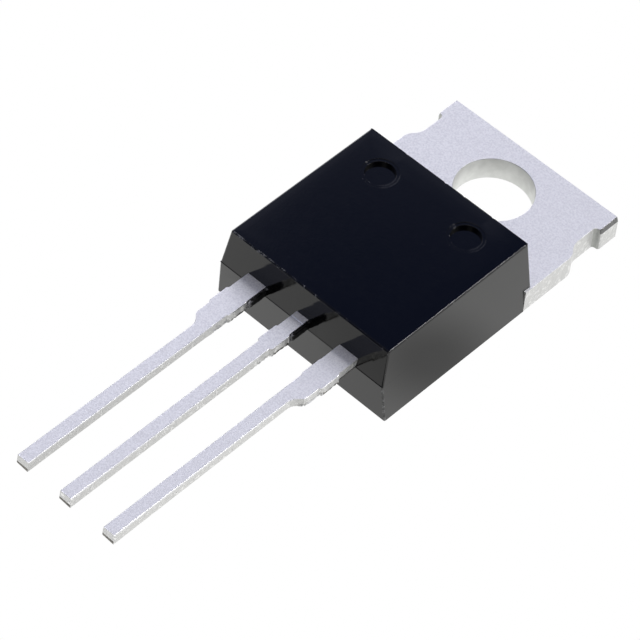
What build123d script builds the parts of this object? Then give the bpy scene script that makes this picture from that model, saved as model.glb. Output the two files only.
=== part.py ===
"""Dual Schottky rectifier in a three-lead power package with a drilled mounting tab.

Frame: the origin is the centre of the mounting hole on the flat back of the tab, +Z points out of
the hole towards the moulded face, +Y towards the free end of the tab and +X across the leads.
"""
from build123d import *
import os

# ---------------------------------------------------------------- driving dimensions (mm)
lead_pitch = 2.54

# stamped copper header: tab, shoulders and the pad under the dies
tab_thickness = 1.27
tab_end = 2.85
hole_diameter = 3.75
hole_edge_radius = 0.06
ear_half_width = 4.96
ear_root = 1.65
notch_half_width = 4.62
notch_end = 0.15
notch_corner_radius = 0.28
notch_runout = 0.50
shoulder_half_width = 5.05
shoulder_root = -3.50
pad_half_width = 4.45
pad_front = -9.95
lock_width = 0.35
lock_height = 0.50
rollover = 0.16

# leads
lead_thickness = 0.48
lead_width = 0.65
lead_tip = -26.50
root_half_width = 0.34
neck_outer = 0.73
dam_near = -13.70
dam_far = -14.80
dam_proud = 0.09
neck_end = -15.72
lead_edge_radius = 0.05

# moulded body
body_height = 4.15
parting_height = 2.24
foot_half_width = 5.05
top_half_width = 4.67
front_foot = -12.47
front_parting = -12.65
front_top = -12.25
back_top = -3.40
back_tab = -3.07
corner_radius = 0.10
top_edge_radius = 0.07
ejector_x = 2.55
ejector_y = -5.10
ejector_diameter = 1.44
ejector_depth = 0.22
ejector_ring_diameter = 1.73
ejector_ring_depth = 0.03
flash_width = 0.16
flash_end = -13.72
flash_thinning = 0.05

# cathode joggle and anode bond pads, inside the moulding
joggle_start = -10.25
joggle_end = -11.25
joggle_radius = 0.40
strap_half_width = 0.75
strap_neck = -11.70
bond_pad_inner = 1.45
bond_pad_outer = 3.95
bond_pad_back = -10.20
bond_pad_front = -11.50

# dies, solder and wires
die_side = 2.30
die_thickness = 0.30
die_x = 2.10
die_y = -6.90
solder_margin = 0.08
solder_thickness = 0.05
wire_diameter = 0.38
wire_foot_length = 0.90
wire_foot_height = 0.24
wire_die_y = -7.20
wire_pad_y = -10.85
wire_pad_x = 2.70
wire_loop_height = 3.35
wire_bend_radius = 0.50

# worked out from the sizes above
lead_top = parting_height + lead_thickness
lead_middle = parting_height + lead_thickness / 2
die_top = tab_thickness + solder_thickness + die_thickness
sides = {"left": -1, "right": 1}


# ---------------------------------------------------------------- lead frame: tab and cathode lead
def header_outline():
    """Half of the plate's plan outline, from the tab's free end to the pad's front edge."""
    with BuildSketch(Plane.XY) as outline:
        with BuildLine():
            Polyline(
                (0, tab_end),
                (ear_half_width, tab_end),
                (ear_half_width, ear_root),
                (notch_half_width, ear_root),
                (notch_half_width, notch_end),
                (shoulder_half_width, notch_end - notch_runout),
                (shoulder_half_width, shoulder_root),
                (pad_half_width, shoulder_root),
                (pad_half_width, pad_front),
                (0, pad_front),
                close=True,
            )
        make_face()
        notch = outline.vertices().filter_by_position(Axis.Y, notch_end - notch_runout, ear_root)
        inner = notch.filter_by_position(Axis.X, notch_half_width, notch_half_width)
        ramp = notch.filter_by_position(Axis.Y, notch_end - notch_runout, notch_end - notch_runout)
        fillet(inner + ramp, notch_corner_radius)
        mirror(about=Plane.YZ)
    return outline.sketch


def cathode_lead_outline():
    """Half of the centre lead's plan outline, from under the pad to the cut tip."""
    with BuildSketch(Plane.XY) as outline:
        with BuildLine():
            Polyline(
                (0, pad_front + lock_width),
                (strap_half_width, pad_front + lock_width),
                (strap_half_width, strap_neck),
                (root_half_width, strap_neck - (strap_half_width - root_half_width)),
                (root_half_width, dam_near),
                (root_half_width + dam_proud, dam_near - dam_proud),
                (root_half_width + dam_proud, dam_far),
                (lead_width / 2, dam_far - dam_proud),
                (lead_width / 2, lead_tip),
                (0, lead_tip),
                close=True,
            )
        make_face()
        mirror(about=Plane.YZ)
    return outline.sketch


def joggle_profile():
    """Side view of the lead strip: level with the pad, then up to the lead plane."""
    strip_level = tab_thickness - lead_thickness / 2
    with BuildSketch(Plane.YZ) as profile:
        with BuildLine():
            FilletPolyline(
                (pad_front + lock_width, strip_level),
                (joggle_start, strip_level),
                (joggle_end, lead_middle),
                (lead_tip, lead_middle),
                radius=joggle_radius,
            )
        trace(line_width=lead_thickness)
    return profile.sketch


def round_lead_edges(part):
    """Rolled-over top edges along the straight outer stretch of a lead."""
    top = part.edges().filter_by(Axis.Y).group_by(Axis.Z)[-1]
    leg_length = dam_far - lead_tip
    fillet(top.filter_by(lambda edge: edge.length > leg_length / 2), lead_edge_radius)


header_plan = header_outline()
cathode_plan = cathode_lead_outline()
strip_side = joggle_profile()

with BuildPart() as cathode_strip:
    extrude(cathode_plan, amount=body_height)
    extrude(strip_side, amount=strap_half_width, both=True, mode=Mode.INTERSECT)
    round_lead_edges(cathode_strip)

with BuildPart() as cathode_tab:
    extrude(header_plan, amount=tab_thickness)
    # sheared plate: the punch side of the tab's free edges is rolled over
    rim = cathode_tab.edges().filter_by_position(Axis.Z, tab_thickness, tab_thickness)
    fillet(rim.filter_by_position(Axis.Y, (ear_root + tab_end) / 2, tab_end), rollover)
    # mould lock: the pad's back edges are set in, so that the resin grips under them
    lock_depth = shoulder_root - pad_front
    with BuildSketch(Plane.XY):
        with Locations((0, shoulder_root - lock_depth / 2)):
            Rectangle(2 * pad_half_width, lock_depth)
        with Locations((0, shoulder_root - (lock_depth - lock_width) / 2)):
            Rectangle(2 * (pad_half_width - lock_width), lock_depth - lock_width, mode=Mode.SUBTRACT)
    extrude(amount=lock_height, mode=Mode.SUBTRACT)
    Hole(radius=hole_diameter / 2)
    hole_rims = cathode_tab.edges().filter_by(GeomType.CIRCLE).group_by(SortBy.RADIUS)[-1]
    fillet(hole_rims.group_by(Axis.Z)[-1], hole_edge_radius)
    add(cathode_strip.part)

cathode_tab.part.label = "cathode_tab_lead"


# ---------------------------------------------------------------- anode leads
def anode_lead_outline():
    """Plan outline of the right-hand lead: bond pad, neck, dam-bar stubs, shoulder and narrow leg."""
    inner_root = lead_pitch - root_half_width
    outer_neck = lead_pitch + neck_outer
    inner_leg = lead_pitch - lead_width / 2
    outer_leg = lead_pitch + lead_width / 2
    with BuildSketch(Plane.XY.offset(parting_height)) as outline:
        with BuildLine():
            Polyline(
                (bond_pad_inner, bond_pad_back),
                (bond_pad_outer, bond_pad_back),
                (bond_pad_outer, bond_pad_front),
                (outer_neck, bond_pad_front),
                (outer_neck, dam_near),
                (outer_neck + dam_proud, dam_near - dam_proud),
                (outer_neck + dam_proud, dam_far),
                (outer_neck, dam_far - dam_proud),
                (outer_neck, neck_end),
                (outer_leg, neck_end - (outer_neck - outer_leg)),
                (outer_leg, lead_tip),
                (inner_leg, lead_tip),
                (inner_leg, dam_far - dam_proud),
                (inner_root - dam_proud / 2, dam_far),
                (inner_root - dam_proud / 2, dam_near - dam_proud),
                (inner_root, dam_near),
                (inner_root, bond_pad_front),
                (bond_pad_inner, bond_pad_front),
                close=True,
            )
        make_face()
    return outline.sketch


anode_plan = anode_lead_outline()

with BuildPart() as anode_right:
    extrude(anode_plan, amount=lead_thickness)
    round_lead_edges(anode_right)

anode_leads = {"right": anode_right.part, "left": mirror(anode_right.part, about=Plane.YZ)}
for side in sides:
    anode_leads[side].label = f"anode_lead_{side}"


# ---------------------------------------------------------------- dies, solder and bond wires
def die_stack(sign):
    """One silicon die and the solder film that holds it on the pad."""
    with BuildPart() as solder:
        with BuildSketch(Plane.XY.offset(tab_thickness)):
            with Locations((sign * die_x, die_y)):
                Rectangle(die_side + 2 * solder_margin, die_side + 2 * solder_margin)
        extrude(amount=solder_thickness)
    with BuildPart() as die:
        with BuildSketch(Plane.XY.offset(tab_thickness + solder_thickness)):
            with Locations((sign * die_x, die_y)):
                Rectangle(die_side, die_side)
        extrude(amount=die_thickness)
    return solder.part, die.part


def wire_loop(sign):
    """Aluminium wire from the die to the bond pad, with a flattened wedge foot at each end."""
    die_end = Vector(sign * die_x, wire_die_y, die_top)
    pad_end = Vector(sign * wire_pad_x, wire_pad_y, lead_top)
    run = Vector(pad_end.X - die_end.X, pad_end.Y - die_end.Y, 0)
    loop_plane = Plane(origin=(die_end.X, die_end.Y, 0), x_dir=run, z_dir=run.cross(Vector(0, 0, 1)))
    reach = run.length
    rise = wire_diameter / 2
    with BuildLine(loop_plane) as path:
        FilletPolyline(
            (0, die_top + rise),
            (reach * 0.22, wire_loop_height),
            (reach * 0.62, wire_loop_height),
            (reach, lead_top + rise),
            radius=wire_bend_radius,
        )
    with BuildPart() as wire:
        with BuildSketch(Plane(origin=path.line @ 0, z_dir=path.line % 0)):
            Circle(wire_diameter / 2)
        sweep(path=path.line)
        for end in (die_end, pad_end):
            with BuildSketch(Plane(origin=end, x_dir=run, z_dir=(0, 0, 1))):
                SlotOverall(wire_foot_length, wire_diameter * 1.2)
            extrude(amount=wire_foot_height)
    return wire.part


stacks = {side: die_stack(sign) for side, sign in sides.items()}
wires = {side: wire_loop(sign) for side, sign in sides.items()}
for side in sides:
    stacks[side][0].label = f"die_solder_{side}"
    stacks[side][1].label = f"schottky_die_{side}"
    wires[side].label = f"bond_wire_{side}"


# ---------------------------------------------------------------- moulded body
def body_level(height, back, square_back=False):
    """Rectangle that the moulding fills at one height, with its back edge at the given y.

    Its corners are rounded, apart from the back ones where the resin ends flush with the shoulders.
    """
    rise = min(height / parting_height, 1)
    lean = max((height - parting_height) / (body_height - parting_height), 0)
    half_width = foot_half_width + (top_half_width - foot_half_width) * height / body_height
    front = front_foot + (front_parting - front_foot) * rise + (front_top - front_parting) * lean
    with BuildSketch(Plane.XY.offset(height)) as level:
        with Locations((0, (front + back) / 2)):
            Rectangle(2 * half_width, back - front)
        front_corners, back_corners = level.vertices().group_by(Axis.Y)
        fillet(front_corners if square_back else front_corners + back_corners, corner_radius)
    return level.sketch


def flash_fin(lead_x, half_width):
    """Thin resin fin that bled along one side of a lead as far as the dam bar."""
    edge = lead_x + half_width
    with BuildPart() as fin:
        with BuildSketch(Plane.XY.offset(parting_height)):
            with BuildLine():
                Polyline(
                    (edge, front_top),
                    (edge + flash_width, front_top),
                    (edge + flash_width, flash_end + 2 * flash_width),
                    (edge + flash_thinning, flash_end),
                    (edge, flash_end),
                    close=True,
                )
            make_face()
        extrude(amount=lead_thickness)
    return fin.part


fins = [flash_fin(-lead_pitch, root_half_width), flash_fin(0, root_half_width)]
back_slope = (back_top - back_tab) / (body_height - tab_thickness)
back_parting = back_tab + back_slope * (parting_height - tab_thickness)

with BuildPart() as body:
    # foot between the tab's shoulders and the front, then the step over the tab, then the crown
    foot_levels = [body_level(height, shoulder_root, square_back=True) for height in (0, tab_thickness)]
    loft(foot_levels, ruled=True)
    loft([body_level(tab_thickness, back_tab), body_level(parting_height, back_parting)], ruled=True)
    loft([body_level(parting_height, back_parting), body_level(body_height, back_top)], ruled=True)
    fillet(body.faces().sort_by(Axis.Z)[-1].edges(), top_edge_radius)
    # each ejector pin leaves a shallow ring with a deeper pit in it
    recesses = {ejector_ring_diameter: ejector_ring_depth, ejector_diameter: ejector_depth}
    for diameter, depth in recesses.items():
        with BuildSketch(Plane.XY.offset(body_height)):
            with Locations((-ejector_x, ejector_y), (ejector_x, ejector_y)):
                Circle(diameter / 2)
        extrude(amount=-depth, mode=Mode.SUBTRACT)
    for fin in fins:
        add(fin)
    add(cathode_tab.part, mode=Mode.SUBTRACT)
    for side in sides:
        add(anode_leads[side], mode=Mode.SUBTRACT)
        add(stacks[side][0], mode=Mode.SUBTRACT)
        add(stacks[side][1], mode=Mode.SUBTRACT)
        add(wires[side], mode=Mode.SUBTRACT)

body.part.label = "moulded_body"


# ---------------------------------------------------------------- one file for each piece
os.makedirs("parts", exist_ok=True)
export_step(body.part, "parts/moulded_body.step")
export_step(cathode_tab.part, "parts/cathode_tab_lead.step")
for side in sides:
    export_step(anode_leads[side], f"parts/anode_lead_{side}.step")
    export_step(stacks[side][0], f"parts/die_solder_{side}.step")
    export_step(stacks[side][1], f"parts/schottky_die_{side}.step")
    export_step(wires[side], f"parts/bond_wire_{side}.step")
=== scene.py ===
"""Looks of a three-lead dual Schottky rectifier: fine meshes, finishes, floor, light and camera.

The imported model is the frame. Each piece that shows is modelled again in finer detail over its
node, and what is sealed inside the moulding keeps its mesh and gets a finish.
"""

import logging
import math
from collections.abc import Callable, Iterator
from contextlib import contextmanager
from dataclasses import dataclass, field
from enum import Enum
from functools import reduce
from typing import ClassVar

import bmesh
import bpy
from mathutils import Matrix, Vector


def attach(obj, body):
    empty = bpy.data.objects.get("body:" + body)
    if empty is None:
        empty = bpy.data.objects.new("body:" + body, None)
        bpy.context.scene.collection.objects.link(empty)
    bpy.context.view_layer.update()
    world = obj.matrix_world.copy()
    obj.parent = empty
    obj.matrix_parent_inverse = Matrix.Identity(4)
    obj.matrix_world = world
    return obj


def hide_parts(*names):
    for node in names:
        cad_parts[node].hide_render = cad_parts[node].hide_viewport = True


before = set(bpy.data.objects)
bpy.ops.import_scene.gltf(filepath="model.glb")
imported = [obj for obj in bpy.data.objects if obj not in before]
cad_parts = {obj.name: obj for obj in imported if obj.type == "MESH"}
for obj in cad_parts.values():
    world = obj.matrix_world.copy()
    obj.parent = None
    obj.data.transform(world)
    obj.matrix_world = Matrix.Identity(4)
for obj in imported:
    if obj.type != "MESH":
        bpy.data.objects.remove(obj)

log = logging.getLogger("rectifier")

Range = tuple[float, float]
Triple = tuple[float, float, float]
Face, Edge = bmesh.types.BMFace, bmesh.types.BMEdge
FaceTest = Callable[[Face], bool]
EdgeTest = Callable[[Edge], bool]
PointTest = Callable[[Vector], bool]
Socket = bpy.types.NodeSocket
Feeds = dict[str | int, object]

MM_PER_M = 1000.0
SAME_PLACE = 1e-3  # mm: closer than this, two points are one
SLACK = 0.01  # mm: how far a zone reaches past what it has to hold
FACING = 0.9  # cosine: above this, a face or an edge points the way that is asked for
LEANING = 0.5  # cosine: above this, a face leans that way
SHARP_TURN = 0.8  # radians: edges that turn by more are still to be rounded
FLAT_TURN = 0.05  # degrees: faces that turn by less are one flat face
ANYWHERE = (-math.inf, math.inf)
EDGE_MARK = "rounded_edge"
EDGE_FACET = 0.06  # mm: the facets of a rounded edge are narrower than this
EDGE_TURN = (0.1, 1.0)  # radians: by how much such facets turn from one to the next


class Axis(Enum):
    """The frame's directions: across the leads, along the part, and up from the mounting face."""

    X = (1.0, 0.0, 0.0)
    Y = (0.0, 1.0, 0.0)
    Z = (0.0, 0.0, 1.0)


class Side(Enum):
    """The two sides of the part, with the leads towards the viewer."""

    LEFT = -1
    RIGHT = 1


class Skin(Enum):
    """The finishes that a piece or a part of it can have."""

    RESIN = "glossy_resin"
    TORN_RESIN = "torn_resin"
    # glossier resin of the flash's curled ends, painted grey as highlight on facets that face up or
    # forward
    CURLED_RESIN = "curled_resin"
    TIN = "matte_tin"
    SHEARED = "sheared_tin"
    # tin of the ears' leaning brow, painted near black as shade
    BURNISHED = "burnished_tin"
    # tin of the bore: smoother, and darkened by painted shade
    BORE = "bore_tin"
    # dark cut metal of the tips' burrs, deepened by painted shadow; also the painted shadow line
    # under the roots
    BURR = "cut_burr"
    # tin of the leads' left top edges, darkened as painted shade
    ROLLED = "rolled_edge"
    # tin of the leads' right top edges: smoother, and a little lighter as a painted highlight
    POLISHED = "polished_edge"
    STEP = "shaded_step"
    SOLDER = "solder_film"
    WIRE = "drawn_aluminium"


class Slot(Enum):
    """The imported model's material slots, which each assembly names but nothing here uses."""

    MOULDING = "moulding"
    TINNED_COPPER = "tinned_copper"


@dataclass(frozen=True)
class Zone:
    """A box-shaped stretch of the part in millimetres, endless where no range is given."""

    x: Range = ANYWHERE
    y: Range = ANYWHERE
    z: Range = ANYWHERE

    def holds(self, point: Vector) -> bool:
        """Whether the point lies in the zone."""
        sides = zip(point, (self.x, self.y, self.z))
        return all(low - SAME_PLACE < value < high + SAME_PLACE for value, (low, high) in sides)

    def touches(self, face: Face) -> bool:
        """Whether the face's middle lies in the zone."""
        return self.holds(face.calc_center_median())

    def spans(self, edge: Edge) -> bool:
        """Whether both ends of the edge lie in the zone."""
        return all(self.holds(vert.co) for vert in edge.verts)

    def faces(self, towards: Triple) -> FaceTest:
        """A test for faces that look this way and have their middle in the zone."""
        way = Vector(towards)
        return lambda face: face.normal.dot(way) > FACING and self.touches(face)

    def edges(self, along: Axis) -> EdgeTest:
        """A test for edges that run along the axis with both ends in the zone."""
        way = Vector(along.value)
        return lambda edge: self.spans(edge) and abs(heading(edge).dot(way)) > FACING


def at(place: float) -> Range:
    """The range that holds one place only."""
    return place, place


def about(reach: float, middle: float = 0.0) -> Range:
    """The range that reaches equally far to both sides of a middle."""
    return middle - reach, middle + reach


def steps(start: float, step: float, count: int) -> list[float]:
    """Evenly spaced places, the first of them one step from the start."""
    return [start + step * number for number in range(1, count + 1)]


def heading(edge: Edge) -> Vector:
    """The direction that an edge runs in."""
    return (edge.verts[1].co - edge.verts[0].co).normalized()


# ------------------------------------------------------------------------------------- the bench
def clear_selection() -> None:
    """Leaves nothing selected in object mode."""
    bpy.ops.object.select_all(action="DESELECT")


class Workpiece:
    """One mesh on the bench, shaped in millimetres and scaled to the frame's metres when done."""

    def __init__(self, name: str, obj: bpy.types.Object) -> None:
        """Takes up an object, and names it and its mesh."""
        self.obj = obj
        self.obj.name = self.obj.data.name = name

    @classmethod
    def block(cls, name: str, low: Triple, high: Triple) -> "Workpiece":
        """Starts from a block.

        Args:
            name: The piece's name.
            low: The block's lowest corner in millimetres.
            high: The block's highest corner in millimetres.

        Returns:
            The block as a piece.
        """
        clear_selection()
        bpy.ops.mesh.primitive_cube_add(size=1.0, location=(Vector(low) + Vector(high)) / 2)
        piece = cls(name, bpy.context.view_layer.objects.active)
        piece.obj.scale = Vector(high) - Vector(low)
        bpy.ops.object.transform_apply(location=True, rotation=False, scale=True)
        return piece

    @classmethod
    def rod(cls, name: str, foot: Triple, radius: float, height: float, sides: int) -> "Workpiece":
        """Starts from an upright round bar.

        Args:
            name: The piece's name.
            foot: The centre of the bar's lower end in millimetres.
            radius: The bar's radius.
            height: The bar's height.
            sides: The number of facets around it.

        Returns:
            The bar as a piece.
        """
        clear_selection()
        bpy.ops.mesh.primitive_cylinder_add(
            vertices=sides, radius=radius, depth=height,
            location=Vector(foot) + Vector((0, 0, height / 2)),
        )
        piece = cls(name, bpy.context.view_layer.objects.active)
        bpy.ops.object.transform_apply(location=True, rotation=False, scale=False)
        return piece

    @classmethod
    def cast_of(cls, node: str) -> "Workpiece":
        """Starts from a merged copy of a node, scaled up to millimetres.

        Args:
            node: The node that is copied.

        Returns:
            The copy as a piece.
        """
        copied = bpy.data.objects.new("core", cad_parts[node].data.copy())
        bpy.context.scene.collection.objects.link(copied)
        piece = cls("core", copied)
        piece.resize(MM_PER_M)
        with piece.editing():
            bpy.ops.mesh.select_all(action="SELECT")
            bpy.ops.mesh.remove_doubles(threshold=SAME_PLACE / 2)
        return piece

    def twin(self, name: str) -> "Workpiece":
        """Copies the piece, mesh and all.

        Args:
            name: The copy's name.

        Returns:
            The copy.
        """
        copied = self.obj.copy()
        copied.data = self.obj.data.copy()
        bpy.context.scene.collection.objects.link(copied)
        return Workpiece(name, copied)

    def hold(self) -> None:
        """Makes the piece the active object and the only one that is selected."""
        clear_selection()
        bpy.context.view_layer.objects.active = self.obj
        self.obj.select_set(True)

    @contextmanager
    def editing(self) -> Iterator[None]:
        """Holds the piece in edit mode.

        Yields:
            Nothing. The piece leaves edit mode afterwards.
        """
        self.hold()
        bpy.ops.object.mode_set(mode="EDIT")
        try:
            yield
        finally:
            bpy.ops.object.mode_set(mode="OBJECT")

    # ---- choosing, in edit mode
    def _pick(self, kind: str, choose: Callable[[bmesh.types.BMesh], list]) -> int:
        """Selects some elements of the mesh and nothing else.

        Args:
            kind: What is chosen: FACE, EDGE or VERT.
            choose: Gives the chosen elements of the mesh.

        Returns:
            How many were chosen.
        """
        bpy.ops.mesh.select_mode(type=kind)
        bpy.ops.mesh.select_all(action="DESELECT")
        mesh = bmesh.from_edit_mesh(self.obj.data)
        mesh.normal_update()
        chosen = choose(mesh)
        for element in chosen:
            element.select_set(True)
        if kind == "VERT":
            mesh.select_flush(True)
        bmesh.update_edit_mesh(self.obj.data)
        return len(chosen)

    def pick_faces(self, wanted: FaceTest) -> int:
        """Selects the faces that pass the test, and returns how many did."""
        return self._pick("FACE", lambda mesh: [face for face in mesh.faces if wanted(face)])

    def pick_edges(self, wanted: EdgeTest) -> int:
        """Selects the edges that pass the test, and returns how many did."""
        return self._pick("EDGE", lambda mesh: [edge for edge in mesh.edges if wanted(edge)])

    def pick_points(self, wanted: PointTest) -> int:
        """Selects the vertices whose place passes the test, and returns how many did."""
        return self._pick("VERT", lambda mesh: [vert for vert in mesh.verts if wanted(vert.co)])

    # ---- shaping, each step from object mode to object mode
    def resize(self, ratio: float) -> None:
        """Scales the piece and puts the scale in its mesh.

        Args:
            ratio: The scale.
        """
        self.hold()
        self.obj.scale = (ratio,) * 3
        bpy.ops.object.transform_apply(location=False, rotation=False, scale=True)

    def mirror_across(self) -> None:
        """Turns the piece into its mirror image on the other side of the part."""
        with self.editing():
            bpy.ops.mesh.select_all(action="SELECT")
            bpy.ops.transform.resize(value=(-1, 1, 1), center_override=(0, 0, 0))
            bpy.ops.mesh.flip_normals()

    def score(self, axis: Axis, *places: float) -> None:
        """Cuts edge loops around the whole piece.

        Args:
            axis: What the loops stand square to.
            places: Where they lie on the axis.
        """
        with self.editing():
            for place in places:
                bpy.ops.mesh.select_all(action="SELECT")
                point = Vector(axis.value) * place
                bpy.ops.mesh.bisect(
                    plane_co=point, plane_no=axis.value, threshold=SAME_PLACE / 10
                )

    def pull(self, wanted: FaceTest, by: Triple) -> None:
        """Extrudes faces as one region.

        Args:
            wanted: The test for the faces.
            by: How far and which way they go.
        """
        with self.editing():
            self.pick_faces(wanted)
            bpy.ops.mesh.extrude_region_move(TRANSFORM_OT_translate={"value": by})

    def shift(self, wanted: PointTest, by: Triple) -> None:
        """Moves vertices.

        Args:
            wanted: The test for the vertices.
            by: How far and which way they go.
        """
        with self.editing():
            if self.pick_points(wanted):
                bpy.ops.transform.translate(value=by)

    def widen(self, wanted: PointTest, ratio: float) -> None:
        """Scales vertices across the leads, about the middle plane.

        Args:
            wanted: The test for the vertices.
            ratio: The scale.
        """
        with self.editing():
            self.pick_points(wanted)
            bpy.ops.transform.resize(value=(ratio, 1, 1), center_override=(0, 0, 0))

    def roughen(self, wanted: PointTest, reach: float, outwards: float, seed: int) -> None:
        """Moves vertices by small seeded amounts.

        Args:
            wanted: The test for the vertices.
            reach: The greatest move.
            outwards: The share of the move that follows the surface's normal.
            seed: Sets the amounts.
        """
        with self.editing():
            if self.pick_points(wanted):
                bpy.ops.transform.vertex_random(
                    offset=reach, uniform=0.3, normal=outwards, seed=seed
                )

    def round_edges(self, wanted: EdgeTest, radius: float, segments: int) -> None:
        """Rounds edges.

        Args:
            wanted: The test for the edges.
            radius: How far the rounding reaches from the edge.
            segments: The number of facets.
        """
        with self.editing():
            if self.pick_edges(wanted):
                bpy.ops.mesh.bevel(
                    offset=radius, segments=segments, affect="EDGES", loop_slide=False
                )

    def clean_flats(self) -> None:
        """Dissolves every edge and vertex that lies within a flat face."""
        with self.editing():
            bpy.ops.mesh.select_all(action="SELECT")
            bpy.ops.mesh.dissolve_limited(angle_limit=math.radians(FLAT_TURN))

    def apply(self, kind: str, **settings: object) -> None:
        """Adds a modifier and applies it.

        Args:
            kind: The modifier's type.
            settings: Its settings.
        """
        self.hold()
        modifier = self.obj.modifiers.new(kind.lower(), kind)
        for name, value in settings.items():
            setattr(modifier, name, value)
        bpy.ops.object.modifier_apply(modifier=modifier.name)

    def combine(self, other: "Workpiece", operation: str) -> None:
        """Subtracts or adds another piece, which is used up."""
        self.apply("BOOLEAN", object=other.obj, operation=operation, solver="EXACT")
        bpy.data.objects.remove(other.obj)

    # ---- dressing
    def dress(self, base: bpy.types.Material, patches: dict[bpy.types.Material, FaceTest]) -> None:
        """Gives the whole piece one material, then each patch its own.

        Args:
            base: The material of every face that no patch takes.
            patches: The test for the faces of each further material, later ones on top.
        """
        self.obj.data.materials.clear()
        self.obj.data.materials.append(base)
        for index, (material, wanted) in enumerate(patches.items(), start=1):
            self.obj.data.materials.append(material)
            with self.editing():
                if self.pick_faces(wanted):
                    self.obj.active_material_index = index
                    bpy.ops.object.material_slot_assign()

    def _mark_rounded_edges(self) -> None:
        """Stores which faces belong to a rounded edge, for the finishes to rub."""
        mesh = bmesh.new()
        mesh.from_mesh(self.obj.data)
        low, high = EDGE_TURN
        marks = []
        for face in mesh.faces:
            turned = [low < edge.calc_face_angle(0.0) < high for edge in face.edges]
            longest = max(edge.calc_length() for edge in face.edges)
            marks.append(float(face.calc_area() < EDGE_FACET * longest and sum(turned) >= 2))
        mesh.free()
        mark = self.obj.data.attributes.new(EDGE_MARK, "FLOAT", "FACE")
        mark.data.foreach_set("value", marks)

    def finish(self, sharp_angle: float) -> bpy.types.Object:
        """Scales the piece to metres, sets its shading and lets it ride on the part.

        Args:
            sharp_angle: Edges that turn by more than this, in degrees, stay sharp.

        Returns:
            The finished object.
        """
        with self.editing():
            bpy.ops.mesh.select_all(action="SELECT")
            bpy.ops.mesh.remove_doubles(threshold=SAME_PLACE / 2)
            bpy.ops.mesh.dissolve_degenerate(threshold=SAME_PLACE / 2)
            bpy.ops.mesh.normals_make_consistent(inside=False)
        self._mark_rounded_edges()
        self.hold()
        bpy.ops.object.shade_smooth_by_angle(angle=math.radians(sharp_angle))
        self.apply("WEIGHTED_NORMAL", keep_sharp=True, weight=100, thresh=1e-5)
        self.resize(1 / MM_PER_M)
        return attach(self.obj, "root")


# ------------------------------------------------------------------------------------ the pieces
class Assembly:
    """What the sub-assemblies share: they model pieces over nodes, dress them and let them ride."""

    skin: ClassVar[Skin]
    slot: ClassVar[Slot]
    sharp_angle: ClassVar[float] = 30.0

    def shapes(self) -> dict[str, Workpiece]:
        """Models the pieces, each under the name of the node it replaces."""
        raise NotImplementedError

    def patches(self) -> dict[Skin, FaceTest]:
        """The parts of the pieces with a finish of their own, later ones on top."""
        raise NotImplementedError

    def build(self, paint: "PaintShop") -> list[bpy.types.Object]:
        """Models, dresses and finishes every piece.

        Args:
            paint: Where the materials come from.

        Returns:
            The finished objects.
        """
        made = []
        for node, piece in self.shapes().items():
            patches = {paint[skin]: wanted for skin, wanted in self.patches().items()}
            piece.dress(paint[self.skin], patches)
            obj = piece.finish(self.sharp_angle)
            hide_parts(node)
            made.append(obj)
        return made


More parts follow.
